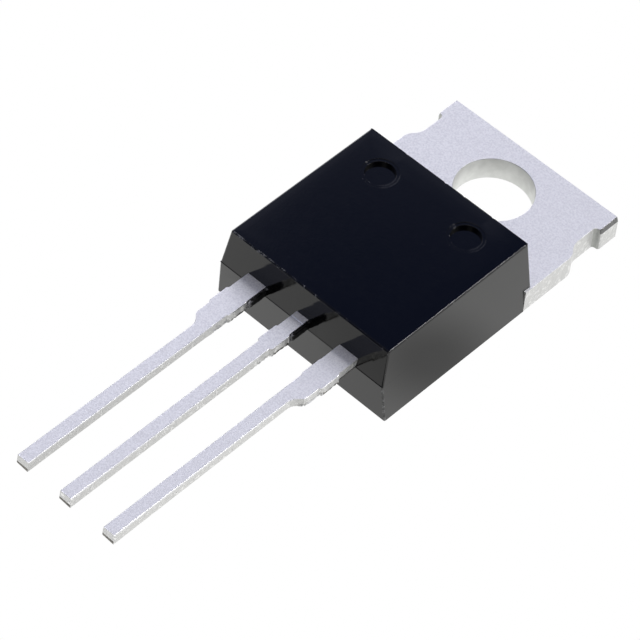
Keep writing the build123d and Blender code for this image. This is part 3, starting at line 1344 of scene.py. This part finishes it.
class Effects:
    """The effects that several finishes share, each a node group made once."""

    def __init__(self) -> None:
        """Makes the three groups."""
        self.edges = self._group("edge_wear", "Share", 0.2, "Mask", self._edges)
        self.grain = self._group("metal_grain", "Fineness", 9000.0, "Grain", self._grain)
        self.dust = self._group("dust_specks", "Fineness", 9000.0, "Mask", self._dust)

    @staticmethod
    def _group(
        name: str, knob: str, start: float, gives: str,
        wire: Callable[[Wiring, Socket, Socket], Socket],
    ) -> bpy.types.NodeTree:
        """Makes a group that takes a place and a number and gives a number.

        Args:
            name: The group's name.
            knob: The name of the number it takes.
            start: The number's starting value.
            gives: The name of what it gives.
            wire: Wires the group, given the place and the number.

        Returns:
            The group.
        """
        group = bpy.data.node_groups.new(name, "ShaderNodeTree")
        sockets = group.interface
        sockets.new_socket(name="Place", in_out="INPUT", socket_type="NodeSocketVector")
        number = sockets.new_socket(name=knob, in_out="INPUT", socket_type="NodeSocketFloat")
        number.default_value = start
        sockets.new_socket(name=gives, in_out="OUTPUT", socket_type="NodeSocketFloat")
        wiring = Wiring(group)
        place, value = wiring.node("NodeGroupInput").outputs[:2]
        wiring.node("NodeGroupOutput", {gives: wire(wiring, place, value)})
        return group

    @staticmethod
    def _edges(wiring: Wiring, place: Socket, share: Socket) -> Socket:
        """Breaks up the marked rounded edges into rubbed and untouched stretches.

        Args:
            wiring: The group's wiring.
            place: Where the shaded point is.
            share: How much of the edges is rubbed.

        Returns:
            The mask of the rubbed stretches.
        """
        marked = wiring.node("ShaderNodeAttribute", attribute_name=EDGE_MARK).outputs["Fac"]
        broken = wiring.noise(place, 4.0, 4.0, 0.75)
        rubbed = wiring.span(broken, wiring.sums("SUBTRACT", 0.72, share), 0.70)
        return wiring.product(marked, rubbed)

    @staticmethod
    def _grain(wiring: Wiring, place: Socket, fineness: Socket) -> Socket:
        """Mixes a fine and a coarser noise into one soft grain.

        Args:
            wiring: The group's wiring.
            place: Where the shaded point is.
            fineness: The scale of the fine noise.

        Returns:
            The grain.
        """
        fine = wiring.product(wiring.texture(place, fineness, 3.0, 0.5), 0.85)
        coarse = wiring.product(wiring.noise(place, 1.5, 3.0, 0.6), 0.15)
        return wiring.span(wiring.sums("ADD", fine, coarse), 0.34, 0.66)

    @staticmethod
    def _dust(wiring: Wiring, place: Socket, fineness: Socket) -> Socket:
        """Scatters small specks, thinned out in patches.

        Args:
            wiring: The group's wiring.
            place: Where the shaded point is.
            fineness: The scale of the pattern that the specks sit in.

        Returns:
            The mask of the specks.
        """
        cells = wiring.node("ShaderNodeTexVoronoi", {"Vector": place, "Scale": fineness})
        specks = wiring.span(cells.outputs["Distance"], 0.16, 0.05)
        return wiring.product(specks, wiring.span(wiring.noise(place, 0.9, 2.0), 0.52, 0.68))


@dataclass(frozen=True)
class Finish:
    """What every finish shares: a surface shader that its own wiring feeds."""

    def make(self, name: str, effects: Effects) -> bpy.types.Material:
        """Makes the material.

        Args:
            name: The material's name.
            effects: The shared effects.

        Returns:
            The material.
        """
        material = bpy.data.materials.new(name)
        material.use_nodes = True
        wiring = Wiring(material.node_tree)
        surface = material.node_tree.nodes["Principled BSDF"]
        wiring.fill(surface, self.feeds(wiring, wiring.place(), effects))
        return material

    def feeds(self, wiring: Wiring, place: Socket, effects: Effects) -> Feeds:
        """Wires the finish and returns what the surface shader is fed."""
        raise NotImplementedError


@dataclass(frozen=True)
class Resin(Finish):
    """Glossy black moulding compound with faint mottling, rubbed edges and a little dust.

    A noise is given by its swings per millimetre, its detail and its roughness, and a place by
    its range in metres.
    """

    shade: Triple = (0.0012, 0.0012, 0.0014)
    rubbed: Triple = (0.16, 0.16, 0.16)
    roughness: float = 0.07
    rubbed_roughness: float = 0.3
    shine: float = 0.5
    mottle: Triple = (3.0, 4.0, 0.65)
    mottle_roughness: float = 0.03
    grit: Triple = (9.0, 3.0, 0.6)
    grit_relief: Range = (0.05, 2e-5)
    parting: Range = (0.0023, 0.0020)
    wear: Range = (0.13, 0.30)
    front: Range = (-0.0115, -0.012)
    leftward: Range = (0.001, -0.003)
    front_left_wear: float = 0.12
    dust_fineness: float = 2600.0
    dust_share: float = 0.03

    def feeds(self, wiring: Wiring, place: Socket, effects: Effects) -> Feeds:
        """Rubs the edges, more so under the parting and at the front left, and dusts the rest.

        Args:
            wiring: The material's wiring.
            place: Where the shaded point is.
            effects: The shared effects.

        Returns:
            What the surface shader is fed.
        """
        across, along, up = wiring.split(place)
        front_left = wiring.product(
            wiring.span(across, *self.leftward, 0.0, self.front_left_wear),
            wiring.span(along, *self.front),
        )
        share = wiring.sums("ADD", wiring.span(up, *self.parting, *self.wear), front_left)
        rub = wiring.effect(effects.edges, Place=place, Share=share)
        dust = wiring.effect(effects.dust, Place=place, Fineness=self.dust_fineness)
        marks = wiring.sums("ADD", rub, wiring.product(dust, self.dust_share), clamp=True)
        mottle = wiring.noise(place, *self.mottle)
        rough = wiring.span(
            mottle, 0.3, 0.7, self.roughness, self.roughness + self.mottle_roughness
        )
        return {
            "Base Color": wiring.blend(marks, self.shade, self.rubbed),
            "Roughness": wiring.sums("ADD", rough, wiring.product(marks, self.rubbed_roughness)),
            "Specular IOR Level": self.shine,
            "Normal": wiring.bump(wiring.noise(place, *self.grit), *self.grit_relief),
        }


@dataclass(frozen=True)
class Tin(Finish):
    """Matte tin plating: pale, softly grained, a little smoother where its edges are rubbed."""

    shade: Triple = (0.80, 0.80, 0.795)
    shaded: Triple = (0.66, 0.66, 0.67)
    roughness: float = 0.50
    roughness_swing: Range = (0.05, -0.03)
    edge_share: float = 0.35
    edge_smoothing: float = 0.08
    fineness: float = 13000.0
    relief: float = 0.12
    relief_depth: float = 1.5e-5
    # painted shade: how far the colour darkens towards the top, over dim_height in mm; only the
    # bore sets it
    dim: float = 0.0
    dim_height: float = 1.27

    def feeds(self, wiring: Wiring, place: Socket, effects: Effects) -> Feeds:
        """Grains the plating and dims it with height, as painted shade.

        Args:
            wiring: The material's wiring.
            place: Where the shaded point is.
            effects: The shared effects.

        Returns:
            What the surface shader is fed.
        """
        grain = wiring.effect(effects.grain, Place=place, Fineness=self.fineness)
        height = wiring.span(wiring.split(place)[2], 0.0, self.dim_height / MM_PER_M)
        shade = wiring.blend(grain, self.shaded, self.shade)
        rough = wiring.span(
            grain, 0.0, 1.0, *(self.roughness + swing for swing in self.roughness_swing)
        )
        edge = wiring.effect(effects.edges, Place=place, Share=self.edge_share)
        smoothing = wiring.product(edge, self.edge_smoothing)
        return {
            "Base Color": wiring.blend(wiring.product(height, self.dim), shade, (0.0, 0.0, 0.0)),
            "Metallic": 1.0,
            "Roughness": wiring.sums("SUBTRACT", rough, smoothing),
            "Normal": wiring.bump(grain, self.relief, self.relief_depth),
        }


@dataclass(frozen=True)
class ShearedTin(Finish):
    """Plated edge of sheared metal: drawn streaks across the thickness and torn patches."""

    shade: Triple = (0.88, 0.88, 0.87)
    shaded: Triple = (0.60, 0.60, 0.59)
    roughness: float = 0.42
    roughness_swing: float = 0.08
    relief: float = 0.8
    relief_depth: float = 3e-5
    across: Triple = (1.0, 1.0, 0.12)
    streaks: Triple = (8.0, 3.0, 0.6)
    tears: Triple = (4.5, 4.0, 0.7)
    torn: float = 0.5

    def feeds(self, wiring: Wiring, place: Socket, effects: Effects) -> Feeds:
        """Mixes the streaks with the tears.

        Args:
            wiring: The material's wiring.
            place: Where the shaded point is.
            effects: The shared effects; not used.

        Returns:
            What the surface shader is fed.
        """
        streaks = wiring.noise(wiring.stretched(place, self.across), *self.streaks)
        tears = wiring.span(wiring.noise(place, *self.tears), 0.50, 0.62)
        mixed = wiring.sums(
            "ADD", wiring.product(streaks, 1.0 - self.torn), wiring.product(tears, self.torn)
        )
        swing = self.roughness_swing
        return {
            "Base Color": wiring.blend(mixed, self.shaded, self.shade),
            "Metallic": 1.0,
            "Roughness": wiring.span(
                mixed, 0.2, 0.8, self.roughness + swing, self.roughness - swing
            ),
            "Normal": wiring.bump(mixed, self.relief, self.relief_depth),
        }


@dataclass(frozen=True)
class Solder(Finish):
    """Dull grey solder, frozen in coarse dendrites."""

    shade: Triple = (0.52, 0.52, 0.53)
    frosted: Triple = (0.36, 0.36, 0.38)
    roughness: Range = (0.55, 0.38)
    fineness: float = 6000.0
    relief: Range = (0.3, 1e-5)

    def feeds(self, wiring: Wiring, place: Socket, effects: Effects) -> Feeds:
        """Frosts the solder.

        Args:
            wiring: The material's wiring.
            place: Where the shaded point is.
            effects: The shared effects.

        Returns:
            What the surface shader is fed.
        """
        frost = wiring.effect(effects.grain, Place=place, Fineness=self.fineness)
        return {
            "Base Color": wiring.blend(frost, self.frosted, self.shade),
            "Metallic": 1.0,
            "Roughness": wiring.span(frost, 0.0, 1.0, *self.roughness),
            "Normal": wiring.bump(frost, *self.relief),
        }


@dataclass(frozen=True)
class DrawnAluminium(Finish):
    """Bright wire with fine streaks along the loop from the drawing die."""

    shade: Triple = (0.86, 0.86, 0.87)
    streaked: Triple = (0.70, 0.70, 0.72)
    along: Triple = (6.0, 0.4, 1.0)
    streaks: Triple = (7.0, 3.0, 0.6)
    roughness: Range = (0.30, 0.18)

    def feeds(self, wiring: Wiring, place: Socket, effects: Effects) -> Feeds:
        """Draws the streaks out along the wire.

        Args:
            wiring: The material's wiring.
            place: Where the shaded point is.
            effects: The shared effects; not used.

        Returns:
            What the surface shader is fed.
        """
        streaks = wiring.noise(wiring.stretched(place, self.along), *self.streaks)
        return {
            "Base Color": wiring.blend(streaks, self.streaked, self.shade),
            "Metallic": 1.0,
            "Roughness": wiring.span(streaks, 0.3, 0.7, *self.roughness),
        }


@dataclass(frozen=True)
class Silicon(Finish):
    """A die: dark polished silicon with an aluminium electrode inside a passivated guard ring.

    Its middle, half sizes and ring are in millimetres.
    """

    centre: Triple
    reach: Triple
    ring: float = 0.15
    ring_edge: float = 0.02
    bare: Triple = (0.07, 0.075, 0.095)
    oxide: Triple = (0.10, 0.16, 0.20)
    electrode: Triple = (0.78, 0.78, 0.80)
    roughness: Range = (0.1, 0.3)
    grain_roughness: float = 0.06
    fineness: float = 9000.0

    def feeds(self, wiring: Wiring, place: Socket, effects: Effects) -> Feeds:
        """Lays the oxide on the die's top, and the electrode inside the ring.

        Args:
            wiring: The material's wiring.
            place: Where the shaded point is.
            effects: The shared effects.

        Returns:
            What the surface shader is fed.
        """
        parts = wiring.split(place)
        inside = []
        for value, middle, half in list(zip(parts, self.centre, self.reach))[:2]:
            away = wiring.sums("ABSOLUTE", wiring.sums("SUBTRACT", value, middle / MM_PER_M))
            inside.append(wiring.sums("SUBTRACT", half / MM_PER_M, away))
        margin = wiring.sums("MINIMUM", *inside)
        top = [(self.centre[2] + self.reach[2] * share) / MM_PER_M for share in (0.9, 1.0)]
        on_top = wiring.span(parts[2], *top)
        ring = (self.ring / MM_PER_M, (self.ring + self.ring_edge) / MM_PER_M)
        metal = wiring.product(on_top, wiring.span(margin, *ring))
        grain = wiring.effect(effects.grain, Place=place, Fineness=self.fineness)
        rough = wiring.span(metal, 0.0, 1.0, *self.roughness)
        faced = wiring.blend(on_top, self.bare, self.oxide)
        return {
            "Base Color": wiring.blend(metal, faced, self.electrode),
            "Metallic": metal,
            "Roughness": wiring.sums("ADD", rough, wiring.product(grain, self.grain_roughness)),
        }


class PaintShop:
    """Makes each finish's material when it is first asked for."""

    finishes: ClassVar[dict[Skin, Finish]] = {
        Skin.RESIN: Resin(),
        Skin.TORN_RESIN: Resin(roughness=0.45, shine=0.08),
        # the curled ends: glossier, and painted grey as highlight on their up- and front-facing
        # facets
        Skin.CURLED_RESIN: Resin(
            shade=(0.10, 0.10, 0.11), rubbed=(0.35, 0.35, 0.36), roughness=0.22, shine=0.8
        ),
        Skin.TIN: Tin(),
        Skin.SHEARED: ShearedTin(),
        # the ears' brow, painted near black as shade
        Skin.BURNISHED: Tin(
            shade=(0.21, 0.21, 0.21), shaded=(0.14, 0.14, 0.14), roughness=0.30
        ),
        # Painted shade: the bore's tin is darker than the plating and darkens more towards the
        # mouth, for the shaded floor it mirrors through the hole. It is also smoother.
        Skin.BORE: Tin(
            shade=(0.74, 0.75, 0.73), shaded=(0.70, 0.71, 0.69), roughness=0.38,
            fineness=3000.0, relief=0.03, dim=0.33,
        ),
        # dark cut metal at the tips' burrs with painted shadow, and the painted shadow line under
        # the roots
        Skin.BURR: Tin(shade=(0.20, 0.19, 0.17), shaded=(0.08, 0.075, 0.07), roughness=0.4),
        # the leads' left top edges, painted dark grey as shade
        Skin.ROLLED: Tin(shade=(0.24, 0.24, 0.25), shaded=(0.16, 0.16, 0.17)),
        # the leads' right top edges: smoother, with a lighter grain tone painted as highlight
        Skin.POLISHED: Tin(
            shade=(0.80, 0.80, 0.80), shaded=(0.72, 0.72, 0.72), roughness=0.34, relief=0.04
        ),
        Skin.STEP: Tin(shade=(0.50, 0.51, 0.49), shaded=(0.44, 0.45, 0.43)),
        Skin.SOLDER: Solder(),
        Skin.WIRE: DrawnAluminium(),
    }

    def __init__(self) -> None:
        """Makes the shared effects; the materials follow on demand."""
        self.effects = Effects()
        self._made: dict[Skin, bpy.types.Material] = {}

    def __getitem__(self, skin: Skin) -> bpy.types.Material:
        """Hands out a finish's material.

        Args:
            skin: The finish.

        Returns:
            The one material of this finish.
        """
        if skin not in self._made:
            self._made[skin] = self.mix(skin.value, self.finishes[skin])
        return self._made[skin]

    def mix(self, name: str, finish: Finish) -> bpy.types.Material:
        """Makes a material of its own."""
        return finish.make(name, self.effects)


@dataclass
class InnerCircuit:
    """The dies, their solder and their wires: sealed in, and dressed as their nodes stand."""

    guard_ring: float = 0.15

    def build(self, paint: PaintShop) -> list[bpy.types.Object]:
        """Dresses each node that stays.

        Args:
            paint: Where the materials come from.

        Returns:
            The dressed objects.
        """
        dressed = []
        for hand in ("left", "right"):
            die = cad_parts[f"schottky_die_{hand}"]
            finishes = {
                die: paint.mix(f"silicon_{hand}", self._silicon(die)),
                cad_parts[f"die_solder_{hand}"]: paint[Skin.SOLDER],
                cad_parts[f"bond_wire_{hand}"]: paint[Skin.WIRE],
            }
            for piece, material in finishes.items():
                for place in piece.material_slots:
                    place.material = material
                dressed.append(piece)
        return dressed

    def _silicon(self, die: bpy.types.Object) -> Silicon:
        """Lays a die's guard ring out to the die's own size.

        Args:
            die: The die.

        Returns:
            The die's finish.
        """
        corners = [MM_PER_M * Vector(corner) for corner in die.bound_box]
        low, high = corners[0], corners[6]
        return Silicon(tuple((low + high) / 2), tuple((high - low) / 2), self.guard_ring)


# ------------------------------------------------------------------------------------ the studio
@dataclass(frozen=True)
class Lamp:
    """A square lamp that looks at the part, its sizes in metres and its power in watts.

    Its way is the direction that it hangs in, as seen from the part.
    """

    name: str
    way: Triple
    size: float
    power: float
    tint: Triple
    distance: float = 0.60

    def hang(self, aim: Triple) -> None:
        """Hangs the lamp.

        Args:
            aim: The place that it looks at.
        """
        data = bpy.data.lights.new(self.name, "AREA")
        data.size, data.energy, data.color = self.size, self.power, self.tint
        lamp = bpy.data.objects.new(self.name, data)
        bpy.context.scene.collection.objects.link(lamp)
        out = Vector(self.way).normalized()
        lamp.location = Vector(aim) + self.distance * out
        lamp.rotation_euler = out.to_track_quat("Z", "Y").to_euler()


@dataclass
class Camera:
    """The camera's stand, in degrees and metres, and its lens in millimetres."""

    azimuth: float = 39.5283
    elevation: float = 50.0677
    roll: float = 5.629
    distance: float = 0.149688
    offset: Range = (0.0016191, 0.0012727)
    focal_length: float = 193.24
    sensor: float = 36
    reach: Range = (0.001, 10)

    def set_up(self, aim: Triple) -> None:
        """Sets the camera up at the part's three-quarter view.

        Args:
            aim: The place that it looks at.
        """
        angles = (self.azimuth, self.elevation, self.roll)
        turn, rise, roll = (math.radians(angle) for angle in angles)
        run = math.cos(rise)
        out = Vector((math.sin(turn) * run, -math.cos(turn) * run, math.sin(rise)))
        level = Vector((math.cos(turn), math.sin(turn), 0))
        upright = out.cross(level)
        across = math.cos(roll) * level + math.sin(roll) * upright
        up = -math.sin(roll) * level + math.cos(roll) * upright
        data = bpy.data.cameras.new("camera")
        data.lens, data.sensor_width = self.focal_length, self.sensor
        data.clip_start, data.clip_end = self.reach
        camera = bpy.data.objects.new("camera", data)
        bpy.context.scene.collection.objects.link(camera)
        stand = Matrix((across, up, out)).transposed().to_4x4()
        aside = self.offset[0] * across
        stand.translation = Vector(aim) + self.distance * out - aside - self.offset[1] * up
        camera.matrix_world = stand
        bpy.context.scene.camera = camera


@dataclass(frozen=True)
class Floor:
    """A white floor, burnt out in direct view and softly shaded in what the part mirrors.

    Places are ranges in metres. Ways are ranges of one part of a mirrored ray's direction.
    """

    side: float = 3
    level: float = -2e-5
    tint: Triple = (1.0, 1.0, 0.99)
    glow: Range = (0.61, 1.08)
    shade_middle: Triple = (0.0062, -0.0083, 0.0)
    shade_reach: Triple = (0.0045, 0.0042, 1.0)
    shade_edge: Range = (0.1, 1.0)
    behind: Range = (0.006, 0.012)
    behind_glow: Range = (1.0, 0.2)
    from_body: Range = (-0.1, 0.1)
    front_near: Range = (-0.025, -0.021)
    front_depth: Range = (-0.0134, -0.0175)
    front_fade: Range = (0.27, 0.42)
    front_across: Range = (-0.0095, 0.0034)
    leftward: Range = (-0.1, 0.1)
    under_tab: Range = (-0.010, -0.008)
    aside_turned: Range = (0.05, -0.15)
    aside_steep: Range = (0.68, 0.56)
    aside_along: Range = (-0.0145, -0.016)
    aside_across: Range = (0.0085, 0.0070)
    aside_fade: float = 0.95
    lead_across: Range = (0.004, -0.002)
    lead_along: Range = (-0.009, -0.012)
    lead_fade: float = 0.26

    def lay(self) -> None:
        """Lays the floor."""
        clear_selection()
        bpy.ops.mesh.primitive_grid_add(
            x_subdivisions=4, y_subdivisions=4, size=self.side, location=(0, 0, self.level)
        )
        floor = bpy.context.view_layer.objects.active
        floor.name = "floor"
        floor.data.materials.append(self._material())

    def _material(self) -> bpy.types.Material:
        """Makes the floor white for the camera, clear from below and shaded for other rays.

        Returns:
            The material.
        """
        material = bpy.data.materials.new("white_floor")
        material.use_nodes = True
        wiring, nodes = Wiring(material.node_tree), material.node_tree.nodes
        shaded = wiring.fill(nodes["Principled BSDF"], {
            "Base Color": (0.0, 0.0, 0.0),
            "Roughness": 0.9,
            "Specular IOR Level": 0.0,
            "Emission Color": self.tint,
            "Emission Strength": self._glow(wiring),
        })
        white = wiring.node("ShaderNodeEmission", {"Color": (1.0, 1.0, 1.0), "Strength": 1.0})
        seen = wiring.node("ShaderNodeLightPath").outputs["Is Camera Ray"]
        above = wiring.choose(seen, shaded.outputs[0], white.outputs[0])
        below = wiring.node("ShaderNodeNewGeometry").outputs["Backfacing"]
        clear = wiring.node("ShaderNodeBsdfTransparent").outputs[0]
        wiring.fill(nodes["Material Output"], {"Surface": wiring.choose(below, above, clear)})
        return material

    def _glow(self, wiring: Wiring) -> Socket:
        """Dims the floor under the part, behind it, and by what mirrors it.

        Args:
            wiring: The floor's wiring.

        Returns:
            The strength of the floor's glow.
        """
        place = wiring.place()
        away = wiring.vectors("SUBTRACT", place, self.shade_middle).outputs[0]
        spread = wiring.vectors("DIVIDE", away, self.shade_reach).outputs[0]
        far = wiring.vectors("LENGTH", spread).outputs["Value"]
        glow = wiring.span(far, *self.shade_edge, *self.glow)
        across, along, _ = wiring.split(place)
        behind = wiring.span(along, *self.behind, *self.behind_glow)
        return wiring.product(glow, behind, self._lean(wiring, across, along))

    def _lean(self, wiring: Wiring, across: Socket, along: Socket) -> Socket:
        """Dims what the front walls and the leads' sides mirror.

        Args:
            wiring: The floor's wiring.
            across: The mirrored point's place across the leads.
            along: The mirrored point's place along the part.

        Returns:
            The share of the glow that is left.
        """
        geometry = wiring.node("ShaderNodeNewGeometry")
        turned, backwards, steep = wiring.split(geometry.outputs["Incoming"])
        from_body = wiring.span(backwards, *self.from_body)
        depth = wiring.span(along, *self.front_depth, *self.front_fade, smooth=False)
        leftward = wiring.sums(
            "MAXIMUM", wiring.span(turned, *self.leftward), wiring.span(along, *self.under_tab)
        )
        front = wiring.product(
            depth, wiring.ramp(across, *self.front_across),
            wiring.span(along, *self.front_near), leftward,
        )
        aside = wiring.product(
            wiring.ramp(turned, *self.aside_turned), wiring.span(steep, *self.aside_steep),
            wiring.span(along, *self.aside_along), wiring.span(across, *self.aside_across),
            self.aside_fade,
        )
        fade = wiring.product(wiring.sums("MAXIMUM", front, aside), from_body)
        beside = wiring.product(
            wiring.ramp(across, *self.lead_across), wiring.span(along, *self.lead_along)
        )
        from_leads = wiring.product(wiring.sums("SUBTRACT", 1.0, from_body), self.lead_fade)
        shaded = wiring.product(beside, from_leads)
        return wiring.sums("SUBTRACT", wiring.sums("SUBTRACT", 1.0, fade), shaded)


@dataclass(frozen=True)
class Room:
    """A dim blue room around the part, white to the camera.

    Each patch has a tint and the ranges of the direction's three parts over which it grows.
    """

    walls: Triple = (0.062, 0.088, 0.21)
    left: Triple = (0.28, 0.31, 0.46)
    right: Triple = (1.15, 1.15, 1.17)
    back: Triple = (0.5, 0.5, 0.55)
    front: Triple = (0.035, 0.045, 0.09)
    ceiling: Triple = (1.0, 0.96, 0.98)
    left_from: Range = (-0.418, -0.47)
    low_band: tuple[Range, Range] = ((0.757, 0.69), (0.56, 0.66))
    low_leftward: Range = (0.2, -0.2)
    right_from: tuple[Range, Range] = ((-0.2, 0.5), (-0.1, 0.3))
    front_from: Range = (-0.2, -0.6)
    ceiling_from: Range = (0.88, 0.96)
    window: tuple[Range, Range, Range] = ((-0.45, -0.65), (-0.12, 0.15), (0.1, 0.35))
    back_from: tuple[Range, Range] = ((0.6, 0.8), (0.5, 0.35))

    def surround(self) -> None:
        """Makes the room the scene's world."""
        world = bpy.data.worlds.new("room")
        bpy.context.scene.world = world
        world.use_nodes = True
        wiring = Wiring(world.node_tree)
        seen = wiring.node("ShaderNodeLightPath").outputs["Is Camera Ray"]
        shown = wiring.blend(seen, self._shade(wiring), (1.0, 1.0, 1.0))
        wiring.fill(world.node_tree.nodes["Background"], {"Color": shown})

    def _shade(self, wiring: Wiring) -> Socket:
        """Tints the room by direction.

        Args:
            wiring: The world's wiring.

        Returns:
            The room's colour.
        """
        across, along, up = wiring.split(wiring.node("ShaderNodeTexCoord").outputs["Generated"])
        low = wiring.product(
            wiring.ramp(up, *self.low_band[0]), wiring.span(up, *self.low_band[1])
        )
        low = wiring.product(low, wiring.span(across, *self.low_leftward))
        lift = wiring.sums("MAXIMUM", wiring.ramp(across, *self.left_from), low, clamp=True)
        right = wiring.product(
            wiring.span(across, *self.right_from[0]), wiring.span(along, *self.right_from[1])
        )
        window = wiring.product(
            wiring.span(along, *self.window[0]), wiring.span(across, *self.window[1]),
            wiring.span(up, *self.window[2]),
        )
        behind = wiring.product(
            wiring.span(along, *self.back_from[0]), wiring.span(up, *self.back_from[1])
        )
        shade = self.walls
        for share, tint in (
            (right, self.right),
            (wiring.span(along, *self.front_from), self.front),
            (lift, self.left),
            (wiring.span(up, *self.ceiling_from), self.ceiling),
            (window, self.right),
            (behind, self.back),
        ):
            shade = wiring.blend(share, shade, tint)
        return shade


@dataclass
class Studio:
    """The pale floor, the soft light and the camera."""

    aim: Triple = (0.0, -0.009, 0.0015)
    lamps: tuple[Lamp, ...] = (
        Lamp("key", (-0.75, 0.51, 0.42), 0.30, 1.08, (0.94, 0.92, 1.0)),
        Lamp("back", (0.15, 0.50, 0.85), 0.08, 0.75, (1.0, 0.99, 1.0)),
    )

    def build(self) -> None:
        """Sets the camera up, lays the floor and sets the surroundings and the lights."""
        Camera().set_up(self.aim)
        Floor().lay()
        Room().surround()
        for lamp in self.lamps:
            lamp.hang(self.aim)
        bpy.context.scene.view_settings.view_transform = "Standard"


def main() -> None:
    """Builds and dresses every sub-assembly, then the studio."""
    logging.basicConfig(level=logging.INFO, format="%(message)s")
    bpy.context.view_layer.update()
    paint = PaintShop()
    for assembly in (MouldedBody(), Header(), AnodeLeads(), InnerCircuit()):
        for piece in assembly.build(paint):
            log.info("%s: %d faces", piece.name, len(piece.data.polygons))
    Studio().build()


if __name__ == "__main__":
    main()
